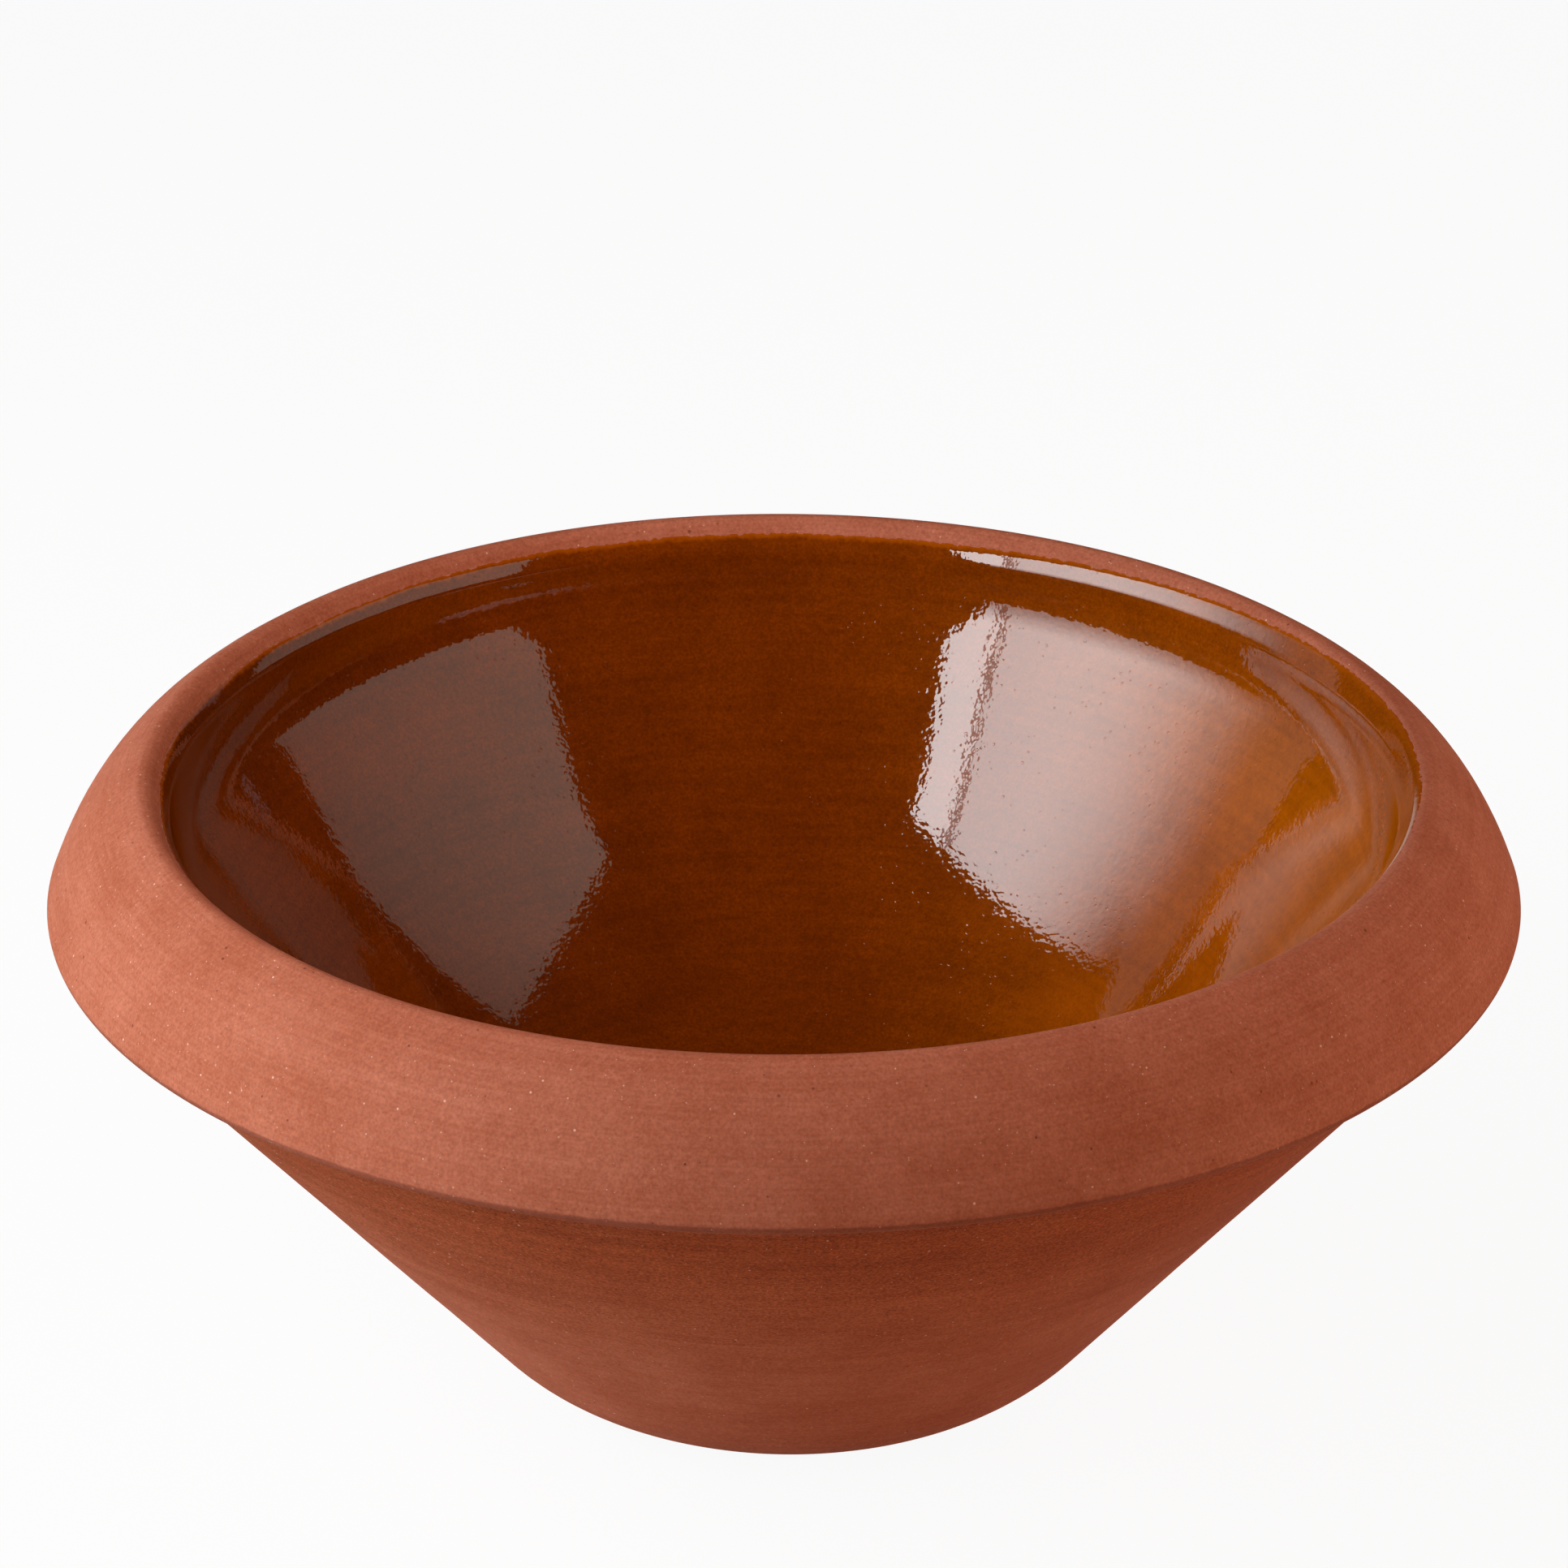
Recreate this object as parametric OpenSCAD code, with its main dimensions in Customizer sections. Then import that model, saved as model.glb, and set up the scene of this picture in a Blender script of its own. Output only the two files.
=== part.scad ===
// Terracotta mixing bowl: thick conical wall, rounded foot and a broad overhanging collar.
// Thrown in one piece and glazed inside, so the whole bowl is one turned solid.

/* [Overall] */
// Widest diameter, round the collar
rim_d = 265; // [220:1:320]
// Height from the table to the top of the lip
height = 116.2; // [95:0.1:145]

/* [Foot] */
// Diameter of the flat that the bowl stands on
foot_d = 78; // [56:1:110]
// Radius of the turned edge round that flat
foot_edge_r = 10; // [4:0.5:16]
// How far the turned edge climbs before the broad curve takes over, in degrees
foot_edge_turn = 23; // [12:1:30]
// Radius of the broad curve between the foot and the wall
foot_curve_r = 42.5; // [20:0.5:60]

/* [Collar] */
// Height of the collar, from its widest circle up to the lip
collar_h = 23.7; // [18:0.1:32]
// How far the collar stands out over the wall below it
collar_overhang = 4.6; // [2:0.1:8]
// Radius of the collar's lower edge
collar_edge_r = 1.9; // [0.8:0.1:3]
// Radius of the crease where the wall runs in under the collar
crease_r = 1.2; // [0.4:0.1:2.5]
// Inward lean of the collar's face just above its edge, in degrees from upright
collar_lean = 19.5; // [8:0.5:30]
// How long the face keeps the lean of its lower end, as a share of its chord
collar_low_pull = 0.43; // [0.25:0.01:0.55]
// How long the face keeps the lean of its upper end, as a share of its chord
collar_high_pull = 0.28; // [0.15:0.01:0.4]

/* [Lip] */
// How far the crest of the lip stands in from the widest circle
lip_inset = 17.6; // [12:0.1:24]
// Radius of the lip
lip_r = 2.6; // [1.5:0.1:4]
// Lean of the collar's face where it turns into the lip, in degrees from upright
lip_lean = 59; // [45:1:70]

/* [Inside] */
// How far the inner edge of the rim stands in from the lip's crest
inner_edge_inset = 4.6; // [3.4:0.1:8]
// Depth of that edge below the lip
inner_edge_depth = 5.2; // [4:0.1:9]
// Radius of that edge
inner_edge_r = 1.5; // [0.5:0.1:3]
// Inward lean of the hollow under that edge, where it starts, in degrees from upright
hollow_lean = 3; // [0:0.5:12]
// Radius of the hollow
hollow_r = 25; // [15:0.5:40]
// Lean of the inner wall below the hollow, in degrees from upright
inner_lean = 35; // [30:0.5:38]
// How far the inner wall runs straight below the hollow before it starts to curve
inner_straight = 28; // [16:0.5:36]
// How long the inner wall keeps its lean, as a share of its chord
inner_pull = 0.44; // [0.35:0.01:0.55]
// How flat the floor lies at its middle, as a share of the same chord
floor_pull = 0.24; // [0.1:0.01:0.35]
// Thickness of the floor at its middle
floor_t = 17; // [8:0.5:20]

/* [Hidden] */
// Facets of the revolve, steps of one arc or short curve of the outline, and of the long inner curve
$fn = 180;
arc_steps = 10;
inner_steps = 18;
// No fillet takes more than this share of the shorter side that it rounds
fillet_share = 0.8;
clay_colour = [0.66, 0.33, 0.24];

rim_r = rim_d / 2;
foot_r = foot_d / 2;
lip_crest_r = rim_r - lip_inset;
lip_centre = [lip_crest_r, height - lip_r];
collar_z = height - collar_h;
shelf_z = collar_z - collar_edge_r;
inner_edge = [lip_crest_r - inner_edge_inset, height - inner_edge_depth];

// Unit vector at an angle, and the angle of a vector
function dir(a) = [cos(a), sin(a)];
function angle_of(v) = atan2(v[1], v[0]);
function unit(v) = v / norm(v);

// Points of an arc about c from angle a to angle b
function arc(c, r, a, b) = [for (i = [0:arc_steps]) c + r * dir(a + (b - a) * i / arc_steps)];

// Points, without its ends, of a cubic curve that leaves p along u and arrives at q along v
function sweep(p, u, q, v, steps) =
    [for (i = [1:steps - 1])
        let (t = i / steps, s = 1 - t)
        s * s * s * p + 3 * s * s * t * (p + u) + 3 * s * t * t * (q - v) + t * t * t * q];

// Points of the arc that rounds the corner c between its neighbours p and q
function fillet(p, c, q, r) =
    let (
        u = unit(p - c),
        v = unit(q - c),
        half = acos(u * v) / 2,
        leg = min(r / tan(half), fillet_share * min(norm(p - c), norm(q - c))),
        centre = c + unit(u + v) * leg / cos(half),
        a = angle_of(c + u * leg - centre),
        turn = angle_of(c + v * leg - centre) - a,
        b = a + turn - 360 * round(turn / 360)
    )
    arc(centre, leg * tan(half), a, b);

// Angle, on a circle about c, of the point where a line from p touches it:
// side is 1 for the touch point anticlockwise of p and -1 for the clockwise one
function touch(p, c, r, side) = angle_of(p - c) + side * acos(r / norm(p - c));

// Foot: a small edge arc, then a broad arc that runs on smoothly from it
edge_end = foot_edge_turn - 90;
edge_centre = [foot_r, foot_edge_r];
curve_centre = edge_centre - (foot_curve_r - foot_edge_r) * dir(edge_end);
wall_top = [rim_r - collar_overhang, shelf_z];
wall_start = touch(wall_top, curve_centre, foot_curve_r, -1);
foot_curve = arc(curve_centre, foot_curve_r, edge_end, wall_start);

// Collar: its lower edge, its leaning face and the lip
collar_edge = arc([rim_r - collar_edge_r, collar_z], collar_edge_r, -90, collar_lean);
face_low = collar_edge[arc_steps];
face_high = lip_centre + lip_r * dir(lip_lean);
face_chord = norm(face_high - face_low);
low_pull = collar_low_pull * face_chord * dir(90 + collar_lean);
high_pull = collar_high_pull * face_chord * dir(90 + lip_lean);
lip_end = 360 + touch(inner_edge, lip_centre, lip_r, -1);
lip = arc(lip_centre, lip_r, lip_lean, lip_end);

// Inside: the rim's slope and inner edge, the hollow under it, and a wall that curves down to the floor
hollow_centre = inner_edge - hollow_r * dir(-hollow_lean);
hollow = arc(hollow_centre, hollow_r, -hollow_lean, -inner_lean);
inner_way = dir(270 - inner_lean);
inner_start = hollow[arc_steps] + inner_straight * inner_way;
floor_middle = [0, floor_t];
inner_chord = norm(floor_middle - inner_start);

function bowl_outline() = concat(
    [[0, 0]],
    arc(edge_centre, foot_edge_r, -90, edge_end),
    [for (i = [1:arc_steps]) foot_curve[i]],
    fillet(foot_curve[arc_steps], wall_top, collar_edge[0], crease_r),
    collar_edge,
    sweep(face_low, low_pull, face_high, high_pull, arc_steps),
    lip,
    fillet(lip[arc_steps], inner_edge, hollow[1], inner_edge_r),
    [for (i = [1:arc_steps]) hollow[i]],
    [inner_start],
    sweep(inner_start, inner_pull * inner_chord * inner_way,
        floor_middle, floor_pull * inner_chord * dir(180), inner_steps),
    [floor_middle]
);

module bowl() {
    color(clay_colour)
        rotate_extrude()
            polygon(bowl_outline());
}

bowl();
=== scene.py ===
"""The looks of a terracotta mixing bowl with a brown gloss glaze inside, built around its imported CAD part.

Lengths are metres in the frame of the part: +Z is up, the foot stands on z = 0 and the viewer looks from -Y.
A place on the turned outline is its distance along it, from the middle of the foot, up the outside,
over the lip and down the inside to the middle of the floor.
"""

import logging
import math
from bisect import bisect_right
from dataclasses import dataclass, field
from enum import Enum
from typing import Callable, Mapping, Sequence

import bmesh
import bpy
from mathutils import Matrix, Vector, noise


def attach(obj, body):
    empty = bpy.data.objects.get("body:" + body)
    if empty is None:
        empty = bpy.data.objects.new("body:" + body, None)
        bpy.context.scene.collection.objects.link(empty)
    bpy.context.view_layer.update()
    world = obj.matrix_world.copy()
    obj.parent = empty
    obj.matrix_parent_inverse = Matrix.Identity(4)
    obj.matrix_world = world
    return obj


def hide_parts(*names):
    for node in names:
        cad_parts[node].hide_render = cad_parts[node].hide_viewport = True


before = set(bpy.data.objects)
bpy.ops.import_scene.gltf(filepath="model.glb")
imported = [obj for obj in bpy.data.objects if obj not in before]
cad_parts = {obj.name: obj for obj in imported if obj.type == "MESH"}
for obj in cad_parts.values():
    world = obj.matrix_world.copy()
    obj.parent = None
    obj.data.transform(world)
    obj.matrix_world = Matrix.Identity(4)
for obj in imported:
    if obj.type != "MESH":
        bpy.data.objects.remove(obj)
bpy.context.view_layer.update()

log = logging.getLogger("mixing_bowl")

MM = 0.001
FULL_TURN = 2 * math.pi
BODY = "root"
CAD_NODE = "bowl"


class Slot(Enum):
    """The material slots of the part."""

    CLAY = "clay"
    GLAZE = "glaze"


def srgb(red: int, green: int, blue: int) -> tuple[float, float, float, float]:
    """Turns a colour as a screen shows it into the linear one that shaders take.

    Args:
        red: Red from 0 to 255.
        green: Green from 0 to 255.
        blue: Blue from 0 to 255.

    Returns:
        The linear colour, with an alpha of 1.
    """
    def linear(level: int) -> float:
        """One channel, linear from 0 to 1."""
        share = level / 255
        return share / 12.92 if share <= 0.04045 else ((share + 0.055) / 1.055) ** 2.4

    return linear(red), linear(green), linear(blue), 1.0


@dataclass(frozen=True)
class Strewn:
    """How grains are strewn: their mean distance, the radius of the largest and the size of the clusters."""

    spacing: float
    radius: float
    gather: float


class Signal:
    """One output of a shader node, which takes part in ordinary arithmetic."""

    def __init__(self, graph: "Graph", socket: bpy.types.NodeSocket) -> None:
        """Keeps the socket and the graph that it belongs to."""
        self.graph = graph
        self.socket = socket

    def _maths(self, operation: str, *values: object) -> "Signal":
        """Adds one Math node that works on the values in their order."""
        return self.graph.node("ShaderNodeMath", {"operation": operation}, dict(enumerate(values)))

    def __add__(self, other: object) -> "Signal":
        """self + other."""
        return self._maths("ADD", self, other)

    def __radd__(self, other: object) -> "Signal":
        """other + self."""
        return self._maths("ADD", other, self)

    def __sub__(self, other: object) -> "Signal":
        """self - other."""
        return self._maths("SUBTRACT", self, other)

    def __rsub__(self, other: object) -> "Signal":
        """other - self."""
        return self._maths("SUBTRACT", other, self)

    def __mul__(self, other: object) -> "Signal":
        """self * other."""
        return self._maths("MULTIPLY", self, other)

    def __rmul__(self, other: object) -> "Signal":
        """other * self."""
        return self._maths("MULTIPLY", other, self)

    def __truediv__(self, other: object) -> "Signal":
        """self / other."""
        return self._maths("DIVIDE", self, other)

    def __rtruediv__(self, other: object) -> "Signal":
        """other / self."""
        return self._maths("DIVIDE", other, self)

    def __pow__(self, other: object) -> "Signal":
        """self ** other."""
        return self._maths("POWER", self, other)

    def larger(self, other: object) -> "Signal":
        """The larger of two numbers."""
        return self._maths("MAXIMUM", self, other)

    def above(self, limit: float) -> "Signal":
        """1 where the signal is above the limit, and 0 elsewhere."""
        return self._maths("GREATER_THAN", self, limit)

    def ramp(self, low: float, high: float) -> "Signal":
        """Climbs smoothly from 0 at low to 1 at high, or falls where high is the smaller."""
        values = {"Value": self, "From Min": low, "From Max": high}
        return self.graph.node("ShaderNodeMapRange", {"interpolation_type": "SMOOTHSTEP"}, values)


class Graph:
    """The node tree of one material, lamp or world."""

    def __init__(self, tree: bpy.types.NodeTree) -> None:
        """Empties the tree and takes it over."""
        self.tree = tree
        tree.nodes.clear()

    def add(self, kind: str, settings: Mapping[str, object], values: Mapping) -> bpy.types.Node:
        """Adds one node.

        Args:
            kind: The node's type.
            settings: The node's own settings, which are set first.
            values: Numbers, colours or signals for its inputs, by name or by index.

        Returns:
            The new node.
        """
        made = self.tree.nodes.new(kind)
        for name, value in settings.items():
            setattr(made, name, value)
        for key, value in values.items():
            if isinstance(value, Signal):
                self.tree.links.new(value.socket, made.inputs[key])
            else:
                made.inputs[key].default_value = value
        return made

    def node(self, kind: str, settings: Mapping[str, object], values: Mapping, output: object = 0) -> Signal:
        """Adds one node, as add does, and returns one of its outputs, by name or by index."""
        return Signal(self, self.add(kind, settings, values).outputs[output])

    def attribute(self, name: str) -> Signal:
        """A number that the mesh carries at each vertex."""
        return self.node("ShaderNodeAttribute", {"attribute_name": name}, {}, "Fac")

    def place(self) -> Signal:
        """The point on the piece, in the frame of the part."""
        return self.node("ShaderNodeTexCoord", {}, {}, "Object")

    def vector(self, operation: str, *values: object) -> Signal:
        """Vector maths on the values in their order."""
        return self.node("ShaderNodeVectorMath", {"operation": operation}, dict(enumerate(values)))

    def scaled(self, vector: object, factor: object) -> Signal:
        """A vector or colour times a number."""
        return self.node("ShaderNodeVectorMath", {"operation": "SCALE"}, {0: vector, "Scale": factor})

    def mixed(self, share: object, first: object, second: object) -> Signal:
        """A colour that goes from the first to the second as the share goes from 0 to 1."""
        return self.node("ShaderNodeMix", {"data_type": "RGBA"}, {0: share, 6: first, 7: second}, 2)

    def axis(self, vector: Signal, name: str) -> Signal:
        """One axis of a vector."""
        return Signal(self, self.add("ShaderNodeSeparateXYZ", {}, {0: vector}).outputs[name])

    def cloud(self, where: Signal, size: float, detail: float = 2.0, rough: float = 0.5) -> Signal:
        """Smooth noise about 0.5, whose patches are about as large as the size given."""
        values = {"Vector": where, "Scale": 1 / size, "Detail": detail, "Roughness": rough}
        return self.node("ShaderNodeTexNoise", {}, values)

    def grains(self, where: Signal, strewn: Strewn) -> Signal:
        """Grains strewn in clusters through the piece, of which its surface cuts a few.

        Args:
            where: The point on the piece.
            strewn: How the grains are strewn.

        Returns:
            1 inside a grain and 0 outside, with a soft edge.
        """
        settings = {"voronoi_dimensions": "3D", "feature": "F1"}
        cells = self.add("ShaderNodeTexVoronoi", settings, {"Vector": where, "Scale": 1 / strewn.spacing})
        pick = self.node("ShaderNodeSeparateColor", {}, {0: Signal(self, cells.outputs["Color"])})
        distance = Signal(self, cells.outputs["Distance"]) * (strewn.spacing / strewn.radius)
        reach = distance / (0.5 + pick * 0.5)
        return reach.ramp(1.0, 0.6) * self.cloud(where, strewn.gather, 1.0).ramp(0.4, 0.6)

    def rings(self, where: Signal, run: float, width: float, seed: float) -> Signal:
        """Noise drawn out round the axis, as a tool leaves on a turning pot.

        Args:
            where: The point on the piece.
            run: How long a mark is, as an angle about the axis.
            width: How wide a mark is along the outline.
            seed: A number that sets one such pattern apart from another.

        Returns:
            The noise, about 0.5.
        """
        flat = self.vector("NORMALIZE", self.vector("MULTIPLY", where, (1, 1, 0)))
        around = self.scaled(flat, 1 / run)
        rise = self.node("ShaderNodeCombineXYZ", {}, {"Z": self.attribute("along") / width + seed})
        values = {"Vector": self.vector("ADD", around, rise), "Scale": 1.0, "Detail": 3.0, "Roughness": 0.6}
        return self.node("ShaderNodeTexNoise", {}, values)


@dataclass(frozen=True)
class ClayFinish:
    """Matt unglazed red clay, with a few grains and pits, faint clouds and fine turning lines, and painted
    shade on the wall under the collar, in a strip below its edge and in the pits.
    """

    dark: tuple = srgb(170, 88, 61)
    pale: tuple = srgb(194, 113, 87)
    grog: tuple = srgb(250, 205, 180)
    # Painted shade in the holes; only the deeper ones also have real relief
    pit_shade: tuple = srgb(110, 50, 36)
    collar_edge_shade: tuple = srgb(112, 54, 44)
    roughness: float = 0.85
    sheen_level: float = 0.1
    # Painted shade: below the collar the wall is tinted darker and redder, most near the collar. The same
    # heights also make the grain and bands stronger there.
    under_collar_painted_shade: tuple = (0.80, 0.59, 0.38)
    wall_starts: float = 24 * MM
    wall_full: float = 85 * MM
    wall_ends: tuple[float, float] = (90.3 * MM, 89.7 * MM)
    # Painted shade: a dark strip just under the collar's lower edge
    strip_low: tuple[float, float] = (90.0 * MM, 90.6 * MM)
    strip_high: tuple[float, float] = (92.6 * MM, 92.1 * MM)
    strip_share: float = 0.45
    strip_wander: float = 0.8 * MM
    cloud_size: float = 16 * MM
    mottle_size: float = 1.5 * MM
    line_width: float = 0.55 * MM
    groove_width: float = 0.5 * MM
    band_width: float = 5 * MM
    grain_size: float = 0.55 * MM
    grain_depth: float = 0.035 * MM
    line_depth: float = 0.03 * MM
    hole_depth: float = 0.08 * MM
    grog_share: float = 0.6
    pit_shade_share: float = 0.7
    coarse_grog: Strewn = Strewn(2.5 * MM, 0.30 * MM, 14 * MM)
    fine_grog: Strewn = Strewn(1.35 * MM, 0.18 * MM, 9 * MM)
    holes: Strewn = Strewn(3.4 * MM, 0.38 * MM, 12 * MM)
    shallow_pits: Strewn = Strewn(1.9 * MM, 0.24 * MM, 8 * MM)
    pit_shift: tuple[float, float, float] = (0.3, 0.1, 0.2)

    def colour(self, graph: Graph, where: Signal) -> Signal:
        """The colour of the clay.

        Args:
            graph: The material's nodes.
            where: The point on the piece.

        Returns:
            The colour signal.
        """
        lines = graph.rings(where, 0.3, self.line_width, 0.0)
        bands = graph.rings(where, 0.9, self.band_width, 40.0)
        clouds = graph.cloud(where, self.cloud_size, 3.0)
        mottle = graph.cloud(where, self.mottle_size, 3.0, 0.6)
        height = graph.axis(where, "Z")
        # wall: where the painted shade under the collar goes, and where the grain is stronger
        wall = height.ramp(self.wall_starts, self.wall_full) * height.ramp(*self.wall_ends)
        tone = clouds * 0.8 + lines * 0.6 + bands * 0.5 + mottle * 0.7 - 0.8
        shade = graph.mixed(tone.ramp(0.0, 1.0), self.dark, self.pale)
        grain = graph.cloud(where, self.grain_size, 2.0) - 0.5
        shade = graph.scaled(shade, grain * (wall * 1.2 + 0.75) + (bands - 0.5) * (wall * 0.5) + 1.0)
        # Painted shade under the collar's overhang
        shade = graph.mixed(wall, shade, graph.vector("MULTIPLY", shade, self.under_collar_painted_shade))
        # Painted shade in a strip under the collar's edge
        shade = graph.mixed(self._painted_shade_strip(graph, where, height) * self.strip_share, shade, self.collar_edge_shade)
        # Painted shade in the pits
        shade = graph.mixed(self._pit_shade(graph, where) * self.pit_shade_share, shade, self.pit_shade)
        return graph.mixed(self._grog(graph, where) * self.grog_share, shade, self.grog)

    def _painted_shade_strip(self, graph: Graph, where: Signal, height: Signal) -> Signal:
        """The dark strip round the collar's lower edge: painted shade under the collar."""
        wander = graph.cloud(where, 4 * MM, 4.0, 0.6) * self.strip_wander
        ragged = height + wander - self.strip_wander / 2
        return height.ramp(*self.strip_low) * ragged.ramp(*self.strip_high)

    def _grog(self, graph: Graph, where: Signal) -> Signal:
        """Pale grains of fired clay in the body."""
        return graph.grains(where, self.coarse_grog).larger(graph.grains(where, self.fine_grog) * 0.75)

    def _holes(self, graph: Graph, where: Signal) -> Signal:
        """The deeper holes where grains pulled out."""
        return graph.grains(graph.vector("ADD", where, self.pit_shift), self.holes)

    def _pit_shade(self, graph: Graph, where: Signal) -> Signal:
        """Painted shade in the small holes: the deeper ones, which also have relief, and the shallow ones,
        which have none.
        """
        shallow = graph.grains(graph.vector("ADD", where, self.pit_shift), self.shallow_pits)
        return self._holes(graph, where).larger(shallow * 0.5)

    def plain(self, graph: Graph, where: Signal) -> Signal:
        """The colour of the clay without its grains and lines, for the little that shows in the glaze."""
        tone = graph.cloud(where, self.mottle_size, 3.0, 0.6).ramp(0.3, 0.7)
        return graph.mixed(tone, self.dark, self.pale)

    def relief(self, graph: Graph, where: Signal) -> Signal:
        """The height of the surface in metres."""
        grain = graph.cloud(where, self.grain_size, 3.0, 0.6) * self.grain_depth
        lines = graph.rings(where, 0.4, self.groove_width, 9.0) * self.line_depth
        return grain + lines - self._holes(graph, where) * self.hole_depth

    def material(self) -> bpy.types.Material:
        """The material of the clay body."""
        made = bpy.data.materials.new("red_clay")
        made.use_nodes = True
        graph = Graph(made.node_tree)
        where = graph.place()
        bump = graph.node("ShaderNodeBump", {}, {"Strength": 1.0, "Distance": 1.0,
                                                 "Height": self.relief(graph, where)})
        shader = graph.node("ShaderNodeBsdfPrincipled", {}, {
            "Base Color": self.colour(graph, where), "Roughness": self.roughness, "IOR": 1.45,
            "Specular IOR Level": self.sheen_level, "Normal": bump})
        graph.add("ShaderNodeOutputMaterial", {}, {"Surface": shader})
        return made


@dataclass(frozen=True)
class GlazeFinish:
    """Clear honey-brown gloss glaze over red clay, faintly uneven, with a few pinholes."""

    clay: ClayFinish
    body: tuple = srgb(140, 58, 2)
    deep: tuple = srgb(109, 42, 1)
    thin: tuple = srgb(170, 78, 5)
    speck: tuple = srgb(70, 26, 3)
    # Painted light: the glaze is paler and more orange towards the right, where the key light falls on it
    painted_light_gain: tuple = (2.15, 3.0, 1.7)
    painted_light_side: tuple[float, float] = (0.0, 95 * MM)
    painted_light_below: tuple[float, float] = (108 * MM, 94 * MM)
    # Painted shade: the glaze's upper band on the left is darkened
    painted_shade_side: tuple[float, float] = (-50 * MM, -100 * MM)
    painted_shade_above: tuple[float, float] = (94 * MM, 105 * MM)
    painted_shade_loss: float = 0.35
    gloss: float = 0.035
    refraction: float = 1.7
    edge_size: float = 1.3 * MM
    edge_wander: float = 1.4 * MM
    covers: tuple[float, float] = (0.1 * MM, 0.35 * MM)
    fringe: tuple[float, float] = (0.4 * MM, 1.6 * MM)
    wave_size: float = 5 * MM
    wave_depth: float = 0.006 * MM
    dimple_size: float = 1.2 * MM
    dimple_depth: float = 0.023 * MM
    pimple_height: float = 0.02 * MM
    cloud_size: float = 16 * MM
    mottle_size: float = 1.6 * MM
    line_width: float = 1.6 * MM
    grain_size: float = 0.5 * MM
    dots: Strewn = Strewn(2.3 * MM, 0.3 * MM, 10 * MM)
    pimples: Strewn = Strewn(1.7 * MM, 0.34 * MM, 12 * MM)

    def colour(self, graph: Graph, where: Signal) -> Signal:
        """The colour that shows through the glaze, apart from its fringe.

        Args:
            graph: The material's nodes.
            where: The point on the piece.

        Returns:
            The colour signal: paler and more orange on the right side as painted light, and darker in the
                upper band on the left as painted shade.
        """
        clouds = graph.cloud(where, self.cloud_size, 3.0)
        mottle = graph.cloud(where, self.mottle_size, 3.0, 0.65)
        lines = graph.rings(where, 0.35, self.line_width, 77.0)
        tone = clouds * 0.9 + mottle * 0.7 + lines * 0.6 - 0.6
        shade = graph.mixed(tone.ramp(0.0, 1.0), self.deep, self.body)
        side, height = graph.axis(where, "X"), graph.axis(where, "Z")
        right_painted_light = side.ramp(*self.painted_light_side) * (height.ramp(*self.painted_light_below) * 0.7 + 0.3)
        left_painted_shade = side.ramp(*self.painted_shade_side) * height.ramp(*self.painted_shade_above)
        grain = graph.cloud(where, self.grain_size, 2.0) - 0.5
        shade = graph.scaled(shade, grain * (1.1 - right_painted_light * 0.75) + 1.0)
        # Painted light on the right side
        shade = graph.mixed(right_painted_light, shade, graph.vector("MULTIPLY", shade, self.painted_light_gain))
        # Painted shade on the upper left
        shade = graph.scaled(shade, 1.0 - left_painted_shade * self.painted_shade_loss)
        dots = graph.grains(graph.vector("ADD", where, (0.7, 0.2, 0.4)), self.dots)
        return graph.mixed(dots * 0.5, shade, self.speck)

    def _height(self, graph: Graph, where: Signal) -> Signal:
        """The height of the glaze's surface in metres: slow waves, dimples and a few pimples."""
        waves = graph.cloud(where, self.wave_size, 1.0) * self.wave_depth
        dimples = graph.cloud(where, self.dimple_size, 1.0) * self.dimple_depth
        pimples = graph.grains(graph.vector("ADD", where, (0.2, 0.5, 0.9)), self.pimples)
        return waves + dimples + pimples * self.pimple_height

    def material(self) -> bpy.types.Material:
        """The material of the glaze, which thins to bare clay at its edge."""
        made = bpy.data.materials.new("brown_glaze")
        made.use_nodes = True
        graph = Graph(made.node_tree)
        where = graph.place()
        wander = graph.cloud(where, self.edge_size, 2.0) * self.edge_wander - self.edge_wander / 2
        ragged = graph.attribute("inset") + wander
        cover = ragged.ramp(*self.covers)
        shade = graph.mixed(ragged.ramp(*self.fringe), self.thin, self.colour(graph, where))
        shade = graph.mixed(cover, self.clay.plain(graph, where), shade)
        bump = graph.node("ShaderNodeBump", {}, {"Strength": 1.0, "Distance": 1.0,
                                                 "Height": self._height(graph, where)})
        rough = cover * (self.gloss - self.clay.roughness) + self.clay.roughness
        shader = graph.node("ShaderNodeBsdfPrincipled", {}, {
            "Base Color": shade, "Roughness": rough, "IOR": self.refraction, "Normal": bump})
        graph.add("ShaderNodeOutputMaterial", {}, {"Surface": shader})
        return made


@dataclass(frozen=True)
class Station:
    """A point of the outline, as radius and height, and the way that the surface faces there."""

    point: Vector
    facing: Vector


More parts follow.
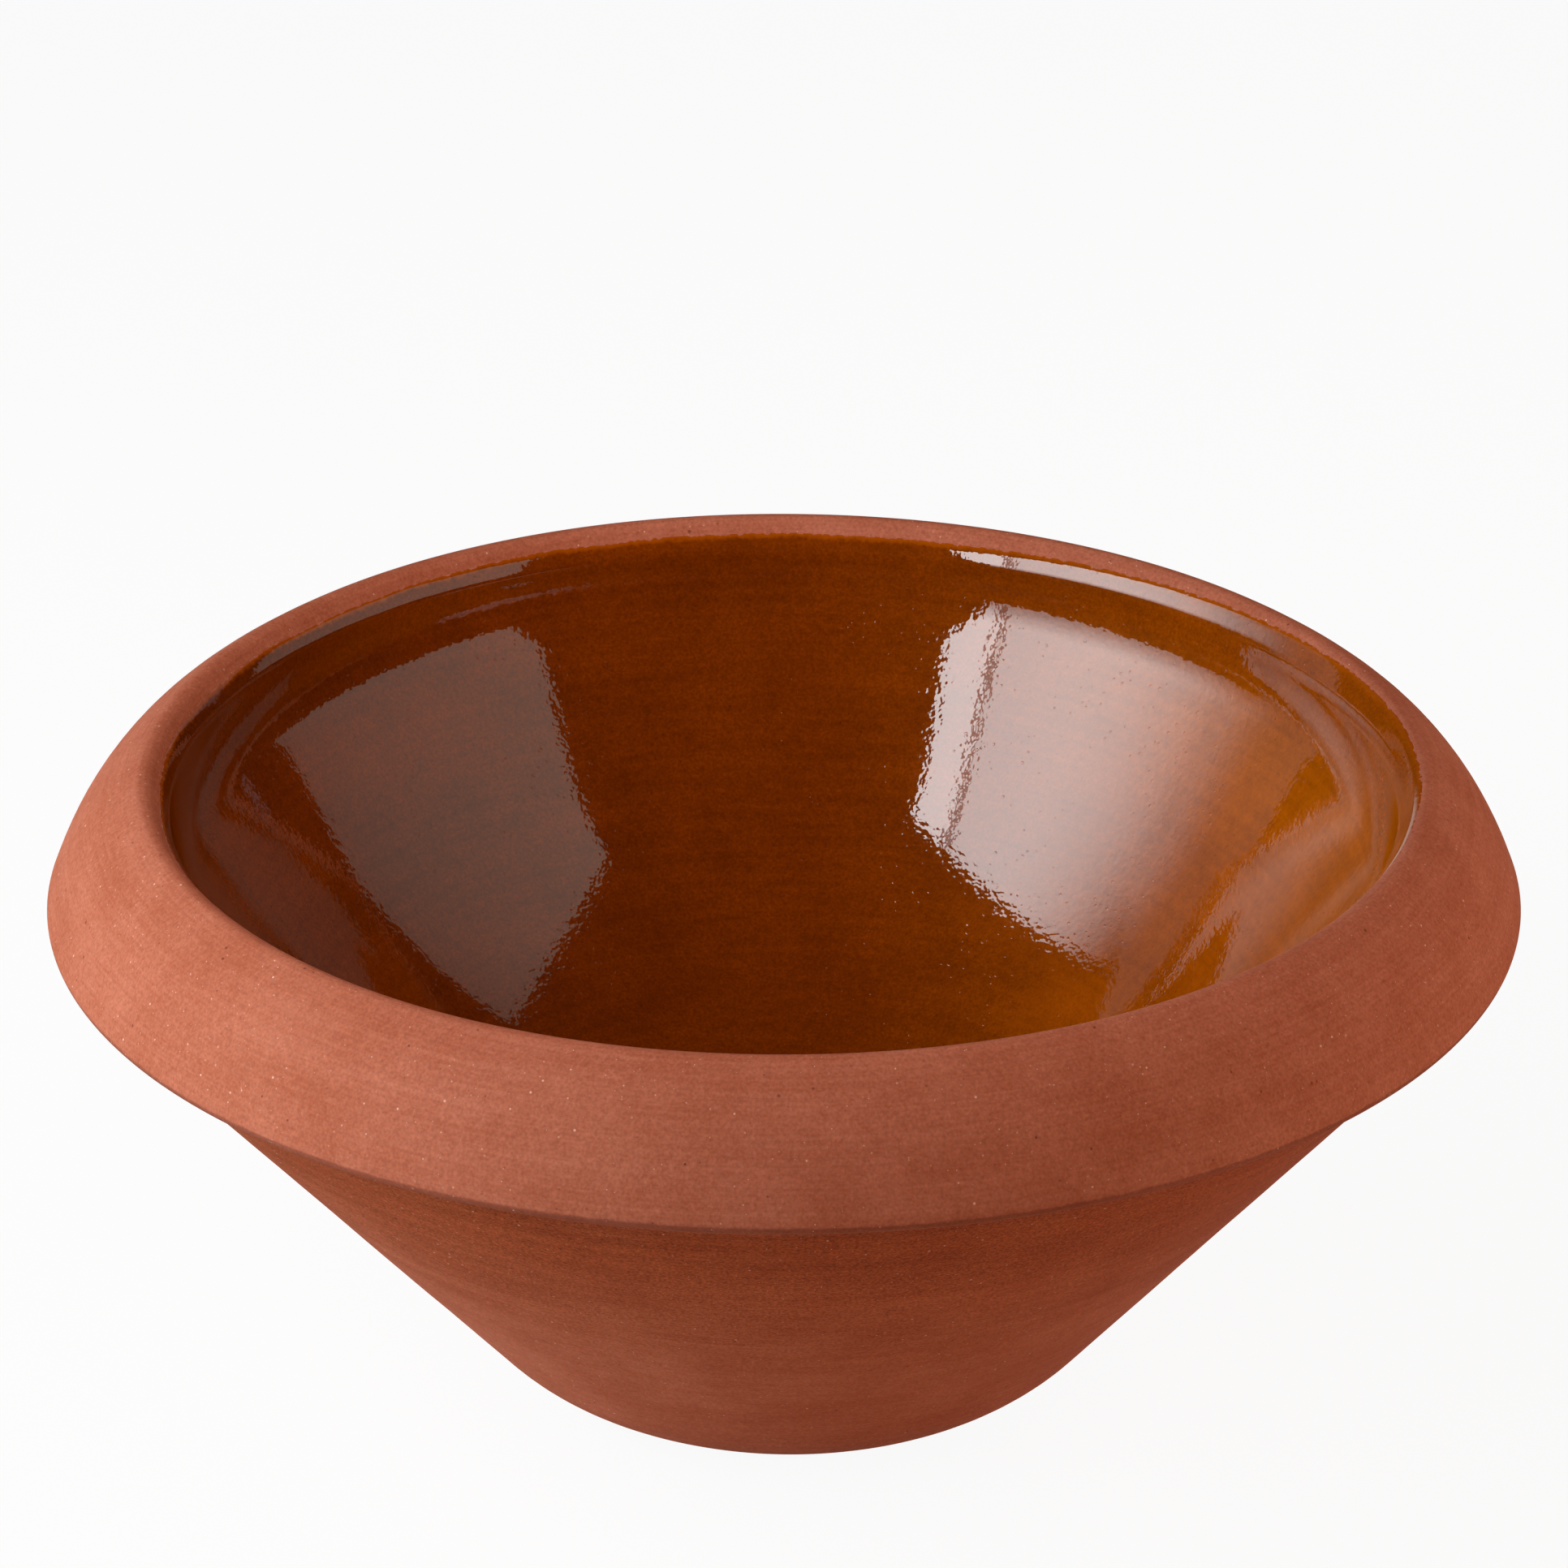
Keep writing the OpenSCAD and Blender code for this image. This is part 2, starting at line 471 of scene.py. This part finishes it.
class Outline:
    """The turned outline of the bowl, read from the CAD part and run smoothly through its corners."""

    WELD = 0.001 * MM
    SCAN = 0.1 * MM
    CORNER = math.radians(0.4)
    STRAIGHT = 3.0
    ROUNDS = 60

    def __init__(self, node: bpy.types.Object) -> None:
        """Reads the outline from the part's mesh."""
        self.points = self._half_section(node)
        chords = [after - before for before, after in zip(self.points, self.points[1:])]
        self.begins = [0.0]
        for chord in chords:
            self.begins.append(self.begins[-1] + chord.length)
        self.length = self.begins[-1]
        self.ways = self._smooth_ways(chords)
        self.known: dict[float, Station] = {}
        self.crest = self._highest()

    def _half_section(self, node: bpy.types.Object) -> list[Vector]:
        """Cuts the part through its axis and walks along one half of the cut.

        Args:
            node: The CAD node.

        Returns:
            The corners of the cut, from the middle of the foot to the middle of the floor.
        """
        mesh = bmesh.new()
        mesh.from_mesh(node.data)
        bmesh.ops.remove_doubles(mesh, verts=mesh.verts, dist=self.WELD)
        everything = [*mesh.verts, *mesh.edges, *mesh.faces]
        cut = bmesh.ops.bisect_plane(mesh, geom=everything, dist=self.WELD, plane_co=(0, 0, 0),
                                     plane_no=(0, 1, 0))
        edges = [part for part in cut["geom_cut"] if isinstance(part, bmesh.types.BMEdge)]
        half = {edge for edge in edges if all(vert.co.x > -self.WELD for vert in edge.verts)}
        start = min({vert for edge in half for vert in edge.verts}, key=lambda v: (round(v.co.z, 6), v.co.x))
        walk = [start]
        while True:
            ahead = [edge for edge in walk[-1].link_edges if edge in half]
            if not ahead:
                break
            half.discard(ahead[0])
            walk.append(ahead[0].other_vert(walk[-1]))
        points = [Vector((vert.co.x, vert.co.z)) for vert in walk]
        mesh.free()
        turns = [(here - before).angle(after - here, 0.0) for before, here, after in
                 zip(points, points[1:], points[2:])]
        corners = [here for here, turn in zip(points[1:], turns) if turn > self.CORNER]
        points = [points[0], *corners, points[-1]]
        if points[0].x > self.WELD:
            points.insert(0, Vector((0, points[0].y)))
        return points

    def _smooth_ways(self, chords: Sequence[Vector]) -> list[Vector]:
        """Finds how the outline runs through its corners, with its curvature unbroken at each of them.

        Args:
            chords: The vectors from each corner to the next.

        Returns:
            The outline's way at each corner. Where a chord is a long straight, its ends keep its own way.
        """
        lengths = [chord.length for chord in chords]
        ways = [Vector((1, 0)), *[Vector((0, 0))] * (len(chords) - 1), Vector((-1, 0))]
        free = []
        for i, (before, after) in enumerate(zip(chords, chords[1:]), start=1):
            shorter, longer = sorted((before, after), key=lambda chord: chord.length)
            ways[i] = longer.normalized()
            if longer.length < self.STRAIGHT * shorter.length:
                free.append(i)
        for _ in range(self.ROUNDS):
            for i in free:
                back, ahead = lengths[i - 1], lengths[i]
                pull = 3 * (chords[i - 1] / back**2 + chords[i] / ahead**2)
                ways[i] = (pull - ways[i - 1] / back - ways[i + 1] / ahead) / (2 / back + 2 / ahead)
        return ways

    def _highest(self) -> float:
        """The place on the outline where it is highest."""
        steps = int(self.length / self.SCAN)
        return max((self.SCAN * step for step in range(steps)), key=lambda along: self.at(along).point.y)

    def at(self, along: float) -> Station:
        """The station at a place on the outline, worked out once for each place."""
        if along not in self.known:
            self.known[along] = self._station(along)
        return self.known[along]

    def _station(self, along: float) -> Station:
        """Works out the station at a place by a cubic curve between the corners about it."""
        index = min(max(bisect_right(self.begins, along) - 1, 0), len(self.points) - 2)
        chord = self.begins[index + 1] - self.begins[index]
        t = (along - self.begins[index]) / chord
        first, last = self.points[index], self.points[index + 1]
        out, into = self.ways[index] * chord, self.ways[index + 1] * chord
        point = ((2 * t**3 - 3 * t**2 + 1) * first + (t**3 - 2 * t**2 + t) * out
                 + (3 * t**2 - 2 * t**3) * last + (t**3 - t**2) * into)
        way = ((6 * t**2 - 6 * t) * (first - last) + (3 * t**2 - 4 * t + 1) * out + (3 * t**2 - 2 * t) * into)
        way.normalize()
        return Station(point, Vector((way.y, -way.x)))

    def places(self, begin: float, end: float, longest: float, bend: float) -> list[float]:
        """Chooses places on the outline, closer together where it bends.

        Args:
            begin: The first place.
            end: The last place.
            longest: The longest step between two places.
            bend: The most that the outline may turn in one step, in radians.

        Returns:
            The places, both ends included.
        """
        chosen = [begin]
        facing = self.at(begin).facing
        for step in range(1, int((end - begin) / self.SCAN)):
            along = begin + step * self.SCAN
            here = self.at(along).facing
            if along - chosen[-1] >= longest or facing.angle(here, 0.0) >= bend:
                chosen.append(along)
                facing = here
        return [*chosen, end]


@dataclass(frozen=True)
class Row:
    """One ring of vertices: its place on the outline, and how far it stands off the clay."""

    along: float
    lift: float


@dataclass
class TurnedPiece:
    """A piece that is turned about the axis of the bowl."""

    outline: Outline
    segments: int = 360
    rim_rise: float = 0.5 * MM
    rise_towards: float = math.radians(104)
    rise_begins: float = 80 * MM
    rise_full: float = 110 * MM

    def _rise(self, angle: float, height: float) -> float:
        """How far the rim stands above its level at the back of the bowl."""
        share = min(max((height - self.rise_begins) / (self.rise_full - self.rise_begins), 0.0), 1.0)
        return self.rim_rise * share * max(math.cos(angle - self.rise_towards), 0.0) ** 3

    def spin(self, name: str, rows: Sequence[Row],
             shape: Callable[[float, float, float], tuple]) -> bpy.types.Object:
        """Spins rows of the outline into a closed mesh and shapes it.

        Args:
            name: The name of the piece.
            rows: The rings, in order.
            shape: Takes a ring's place and lift and the angle about the axis, and returns the
                vertex's place on the outline, its lift, and its distance from the piece's edge.

        Returns:
            The new object, with along and inset on its vertices.
        """
        mesh = bmesh.new()
        along = mesh.verts.layers.float.new("along")
        inset = mesh.verts.layers.float.new("inset")
        lift = mesh.verts.layers.float.new("lift")
        chain = []
        for row in rows:
            station = self.outline.at(row.along)
            vert = mesh.verts.new((station.point.x, 0, station.point.y + row.lift * station.facing.y))
            vert[along], vert[lift] = row.along, row.lift
            chain.append(vert)
        edges = [mesh.edges.new(pair) for pair in zip(chain, chain[1:])]
        bmesh.ops.spin(mesh, geom=[*chain, *edges], cent=(0, 0, 0), axis=(0, 0, 1), angle=FULL_TURN,
                       steps=self.segments, use_merge=True, use_duplicate=False)
        for vert in mesh.verts:
            angle = math.atan2(vert.co.y, vert.co.x)
            vert[along], stand, vert[inset] = shape(vert[along], vert[lift], angle)
            station = self.outline.at(vert[along])
            radius = station.point.x + stand * station.facing.x
            height = station.point.y + stand * station.facing.y
            height = max(height + self._rise(angle, height), 0.0)
            if station.point.x > Outline.WELD:
                vert.co = radius * math.cos(angle), radius * math.sin(angle), height
            else:
                vert.co = 0, 0, height
        bmesh.ops.remove_doubles(mesh, verts=mesh.verts, dist=Outline.WELD)
        bmesh.ops.recalc_face_normals(mesh, faces=mesh.faces)
        for face in mesh.faces:
            face.smooth = True
        mesh.verts.layers.float.remove(mesh.verts.layers.float["lift"])
        data = bpy.data.meshes.new(name)
        mesh.to_mesh(data)
        mesh.free()
        piece = bpy.data.objects.new(name, data)
        bpy.context.scene.collection.objects.link(piece)
        return piece


def ripple(along: float, angle: float, width: float, run: float, seed: float) -> float:
    """A gentle uneven ripple from -1 to 1, drawn out round the axis.

    Args:
        along: The place on the outline.
        angle: The angle about the axis.
        width: The width of a ripple along the outline.
        run: How far a ripple keeps its form round the axis, as an angle.
        seed: A number that sets one ripple apart from another.

    Returns:
        The ripple's height.
    """
    return noise.noise(Vector((math.cos(angle) / run, math.sin(angle) / run, along / width + seed)))


@dataclass
class ClayBody(TurnedPiece):
    """The thrown bowl: foot, wall, collar, lip and the clay under the glaze."""

    finish: ClayFinish = ClayFinish()
    longest_outside: float = 1.9 * MM
    longest_inside: float = 5 * MM
    bend: float = math.radians(7)
    ridge_width: float = 6 * MM
    ridge_height: float = 0.035 * MM
    swell_width: float = 22 * MM
    swell_height: float = 0.08 * MM
    foot_lean: float = 1.25 * MM
    lean_ends: float = 80 * MM
    wall_fade: float = 10 * MM
    lip_fade: float = 6 * MM
    past_crest: float = 8 * MM
    foot_end: float = field(init=False, default=0.0)

    def _shape(self, along: float, lift: float, angle: float) -> tuple[float, float, float]:
        """Gives the outside its faint throwing ridges and sets the foot a little to one side."""
        wall = min(max((along - self.foot_end) / self.wall_fade, 0.0), 1.0)
        outside = min(max((self.outline.crest - along) / self.lip_fade, 0.0), 1.0)
        ridges = ripple(along, angle, self.ridge_width, 1.2, 3.0) * self.ridge_height
        swells = ripple(along, angle, self.swell_width, 0.8, 19.0) * self.swell_height
        station = self.outline.at(along)
        low = max(1.0 - station.point.y / self.lean_ends, 0.0) if along < self.outline.crest else 0.0
        lean = self.foot_lean * low * math.cos(angle) * station.facing.x
        return along, lift + lean + (ridges + swells) * wall * outside, 0.0

    def build(self) -> bpy.types.Object:
        """Makes the clay body and dresses it.

        Returns:
            The finished piece.
        """
        line = self.outline
        self.foot_end = next(line.begins[i] for i, point in enumerate(line.points) if point.y > Outline.WELD)
        below = line.places(0.0, line.crest + self.past_crest, self.longest_outside, self.bend)
        inside = line.places(below[-1], line.length, self.longest_inside, self.bend)
        rows = [Row(along, 0.0) for along in [*below, *inside[1:]]]
        piece = self.spin("clay_body", rows, self._shape)
        piece.data.materials.append(self.finish.material())
        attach(piece, BODY)
        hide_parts(CAD_NODE)
        return piece


@dataclass
class GlazeLining(TurnedPiece):
    """The fired glaze inside the bowl, with the uneven edge that a pour leaves on the lip."""

    segments: int = 480
    finish: GlazeFinish = GlazeFinish(ClayFinish())
    thickness: float = 0.28 * MM
    sink: float = 0.06 * MM
    swell: float = 0.8 * MM
    depth: float = 0.7 * MM
    edge_inset: float = 3.8 * MM
    edge_reach: float = 3.0 * MM
    reach_towards: float = math.radians(2)
    wave_height: float = 0.35 * MM
    settle: float = 14 * MM
    edge_rows: int = 12
    edge_step: float = 0.3 * MM
    longest: float = 1.4 * MM
    longest_under: float = 5 * MM
    # Only tells the upper rings from those below: _shape gives them their true height
    upper: float = 1.0 * MM
    bend: float = math.radians(4)
    edge: float = field(init=False, default=0.0)

    def _wave(self, angle: float) -> float:
        """How much further in the edge lies at an angle than its mean."""
        slow = ripple(0.0, angle, 1.0, 0.45, 5.0) * 2 + ripple(0.0, angle, 1.0, 0.12, 8.0) * 0.8
        reach = self.edge_reach * max(math.cos(angle - self.reach_towards), 0.0) ** 4
        return self.wave_height * slow - reach

    def _shape(self, along: float, lift: float, angle: float) -> tuple[float, float, float]:
        """Moves the rings near the edge along the outline, and thins the glaze out at its edge."""
        inset = along - self.edge
        kept = min(inset / self.settle, 1.0)
        fade = 1 - kept * kept * (3 - 2 * kept)
        if lift > 0:
            lift = (self.thickness + self.sink) * (1 - math.exp(-inset / self.swell)) - self.sink
        return along + self._wave(angle) * fade, lift, inset

    def build(self) -> bpy.types.Object:
        """Makes the glaze and dresses it.

        Returns:
            The finished piece.
        """
        line = self.outline
        self.edge = line.crest + self.edge_inset
        near = [self.edge + self.edge_step * step for step in range(self.edge_rows)]
        far = line.places(near[-1] + self.edge_step * 2, line.length, self.longest, self.bend)
        under = line.places(self.edge, line.length, self.longest_under, self.bend * 3)
        rows = [Row(along, self.upper) for along in [*near, *far]]
        rows += [Row(along, -self.depth) for along in reversed(under)]
        rows.append(Row(self.edge, self.upper))
        piece = self.spin("glaze_lining", rows, self._shape)
        piece.data.materials.append(self.finish.material())
        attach(piece, BODY)
        return piece


# Tints of the lamps. Those that no surface mirrors are tinted further, to make up for the gloss that they lack
WARM = (1.0, 0.78, 0.63, 1.0)
COOL = (0.92, 1.46, 1.8, 1.0)
ROSY = (1.0, 0.62, 0.45, 1.0)
PLAIN = (1.0, 1.0, 1.0, 1.0)


@dataclass(frozen=True)
class Panel:
    """A soft light beside the bowl. Angles are radians: yaw turns it about Z and tilt leans it down.

    Places on its front run from 0 to 1: across it from the far end to the end by the camera, and up it.
    """

    name: str
    centre: tuple[float, float, float]
    yaw: float
    tilt: float
    width: float
    height: float
    radiance: float
    mirrored: bool = True
    tint: tuple = PLAIN

    def _pattern(self, across: Signal, up: Signal) -> Signal:
        """The light at a place on the front, as a share of the full radiance."""
        return across * 0.0 + 1.0

    def build(self) -> bpy.types.Object:
        """Makes the lamp.

        Returns:
            The lamp's object.
        """
        lamp = bpy.data.lights.new(self.name, "AREA")
        lamp.shape = "RECTANGLE"
        lamp.size, lamp.size_y = self.width, self.height
        lamp.energy = self.radiance * math.pi * self.width * self.height
        lamp.use_nodes = True
        graph = Graph(lamp.node_tree)
        place = graph.node("ShaderNodeNewGeometry", {}, {}, "Parametric")
        axes = graph.add("ShaderNodeSeparateXYZ", {}, {0: place})
        across, up = (Signal(graph, axes.outputs[name]) for name in "XY")
        light = graph.node("ShaderNodeEmission", {}, {
            "Color": self.tint, "Strength": self._pattern(across, up)})
        graph.add("ShaderNodeOutputLight", {}, {"Surface": light})
        made = bpy.data.objects.new(self.name, lamp)
        bpy.context.scene.collection.objects.link(made)
        level = math.cos(self.tilt)
        shine = Vector((-math.sin(self.yaw) * level, math.cos(self.yaw) * level, -math.sin(self.tilt)))
        side = Vector((math.cos(self.yaw), math.sin(self.yaw), 0))
        rise = (-shine).cross(side)
        turn = Matrix((side, rise, -shine)).transposed().to_4x4()
        made.matrix_world = Matrix.Translation(self.centre) @ turn
        made.visible_camera = False
        made.visible_glossy = self.mirrored
        return made


@dataclass(frozen=True)
class FillPanel(Panel):
    """The weak softbox on the viewer's right, which dims towards its far end."""

    far_share: float = 0.40

    def _pattern(self, across: Signal, up: Signal) -> Signal:
        """Falls evenly from the end by the camera to the far end."""
        return 1.0 - across * (1.0 - self.far_share)


@dataclass(frozen=True)
class KeyPanel(Panel):
    """The strong softbox on the viewer's left: it fades out at its far end and at its foot.

    A bright strip stands beside it at the end by the camera, past a narrow gap.
    """

    fade: float = 0.8
    fade_power: float = 1.95
    gap: float = 0.98
    gap_lean: float = 0.08
    gap_width: float = 0.01
    gap_blur: float = 0.004
    gap_depth: float = 0.8
    strip_gain: float = 0.3
    foot_share: float = 0.25
    foot_range: tuple[float, float] = (-0.1, 0.48)

    def _pattern(self, across: Signal, up: Signal) -> Signal:
        """Climbs from the far end, dips at the gap and is strongest in the strip."""
        climb = across.ramp(0.0, self.fade) ** self.fade_power
        lit = self.foot_share + up.ramp(*self.foot_range) * (1.0 - self.foot_share)
        slant = across + up * self.gap_lean
        low, high = self.gap - self.gap_width / 2, self.gap + self.gap_width / 2
        gap = slant.ramp(low - self.gap_blur, low) * slant.ramp(high + self.gap_blur, high)
        strip = 1.0 + slant.above(self.gap) * self.strip_gain
        return climb * lit * strip * (1.0 - gap * self.gap_depth)


@dataclass
class Studio:
    """The pale floor, the soft light and the camera."""

    floor_size: float = 40.0
    floor_paper: tuple = srgb(222, 200, 170)
    floor_far: tuple = srgb(170, 156, 138)
    floor_fades: tuple[float, float] = (0.2, 0.45)
    floor_glow: float = 0.93
    backdrop_edge: tuple[float, float] = (0.92, 0.96)
    ambient: float = 0.04
    room_gloss: float = 0.004
    eye: tuple[float, float, float] = (0.0, -1.6900, 0.8957)
    pitch: float = math.radians(24.83)
    lens: float = 238.50
    panels: tuple[Panel, ...] = (
        KeyPanel("key_light", centre=(-0.683, 0.093, 0.448), yaw=-0.944, tilt=0.167,
                 width=1.170, height=0.434, radiance=5.5),
        FillPanel("fill_light", centre=(0.526, 0.077, 0.485), yaw=1.176, tilt=-0.150,
                  width=0.657, height=0.397, radiance=0.74, tint=(1.02, 1.12, 0.96, 1.0)),
        Panel("far_right_light", centre=(0.449, 0.596, 0.590), yaw=2.496, tilt=0.559,
              width=0.35, height=0.72, radiance=0.18),
        Panel("left_strip", centre=(-0.785, 0.383, 0.325), yaw=-2.025, tilt=0.260,
              width=0.34, height=0.48, radiance=0.25),
        Panel("side_light", centre=(0.645, 0.030, 0.566), yaw=1.350, tilt=0.180,
              width=0.80, height=0.50, radiance=1.5, mirrored=False, tint=WARM),
        Panel("low_left_light", centre=(-1.300, -0.350, 0.200), yaw=-1.308, tilt=0.089,
              width=0.70, height=0.35, radiance=9.0, mirrored=False, tint=COOL),
        Panel("low_right_light", centre=(1.300, -0.350, 0.200), yaw=1.308, tilt=0.089,
              width=0.70, height=0.35, radiance=6.0, mirrored=False, tint=WARM),
        Panel("front_light", centre=(-0.420, -1.096, 0.840), yaw=-0.366, tilt=0.576,
              width=1.40, height=0.35, radiance=1.4, mirrored=False, tint=ROSY),
    )

    def build(self) -> None:
        """Makes the floor, the lamps, the world and the camera."""
        self._floor()
        for panel in self.panels:
            panel.build()
            log.info("light: %s", panel.name)
        self._world()
        self._camera()
        bpy.context.scene.view_settings.view_transform = "Standard"

    def _seen(self, graph: Graph) -> Signal:
        """1 for the rays that show the background: the camera's, mirrored ones and those through glass."""
        rays = graph.add("ShaderNodeLightPath", {}, {})
        camera, gloss, glass = (Signal(graph, rays.outputs[f"Is {kind} Ray"])
                                for kind in ("Camera", "Glossy", "Transmission"))
        return camera.larger(gloss).larger(glass)

    def _floor(self) -> None:
        """A large plain floor that is seen as white, with the bowl's shadow on it."""
        mesh = bmesh.new()
        bmesh.ops.create_grid(mesh, x_segments=1, y_segments=1, size=self.floor_size / 2)
        data = bpy.data.meshes.new("floor")
        mesh.to_mesh(data)
        mesh.free()
        floor = bpy.data.objects.new("floor", data)
        bpy.context.scene.collection.objects.link(floor)
        made = bpy.data.materials.new("pale_floor")
        made.use_nodes = True
        graph = Graph(made.node_tree)
        seen = self._seen(graph)
        away = graph.node("ShaderNodeVectorMath", {"operation": "LENGTH"}, {0: graph.place()}, "Value")
        shade = graph.mixed(away.ramp(*self.floor_fades), self.floor_paper, self.floor_far)
        shade = graph.mixed(seen, shade, (1.0, 1.0, 1.0, 1.0))
        paper = graph.node("ShaderNodeBsdfDiffuse", {}, {"Color": shade})
        glow = graph.node("ShaderNodeEmission", {}, {"Strength": 1.0})
        surface = graph.node("ShaderNodeMixShader", {}, {0: seen * self.floor_glow, 1: paper, 2: glow})
        graph.add("ShaderNodeOutputMaterial", {}, {"Surface": surface})
        floor.data.materials.append(made)

    def _world(self) -> None:
        """A white backdrop behind the bowl, as seen and mirrored, in a dark room that hardly lights it."""
        world = bpy.data.worlds.new("studio")
        world.use_nodes = True
        graph = Graph(world.node_tree)
        seen = self._seen(graph)
        way = graph.node("ShaderNodeTexCoord", {}, {}, "Generated")
        behind = graph.axis(way, "Y")
        backdrop = seen * behind.ramp(*self.backdrop_edge)
        room = seen * self.room_gloss + (1.0 - seen) * self.ambient
        air = graph.node("ShaderNodeBackground", {}, {"Strength": backdrop + (1.0 - backdrop) * room})
        graph.add("ShaderNodeOutputWorld", {}, {"Surface": air})
        bpy.context.scene.world = world

    def _camera(self) -> None:
        """The camera at the photograph's place."""
        data = bpy.data.cameras.new("camera")
        data.lens = self.lens
        data.sensor_width = 36.0
        camera = bpy.data.objects.new("camera", data)
        camera.location = self.eye
        camera.rotation_euler = (math.pi / 2 - self.pitch, 0, 0)
        bpy.context.scene.collection.objects.link(camera)
        bpy.context.scene.camera = camera


def main() -> None:
    """Builds the bowl and the studio."""
    logging.basicConfig(level=logging.INFO, format="%(message)s")
    outline = Outline(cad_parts[CAD_NODE])
    for maker in (ClayBody(outline), GlazeLining(outline)):
        piece = maker.build()
        log.info("piece: %s, %d faces", piece.name, len(piece.data.polygons))
    Studio().build()


if __name__ == "__main__":
    main()
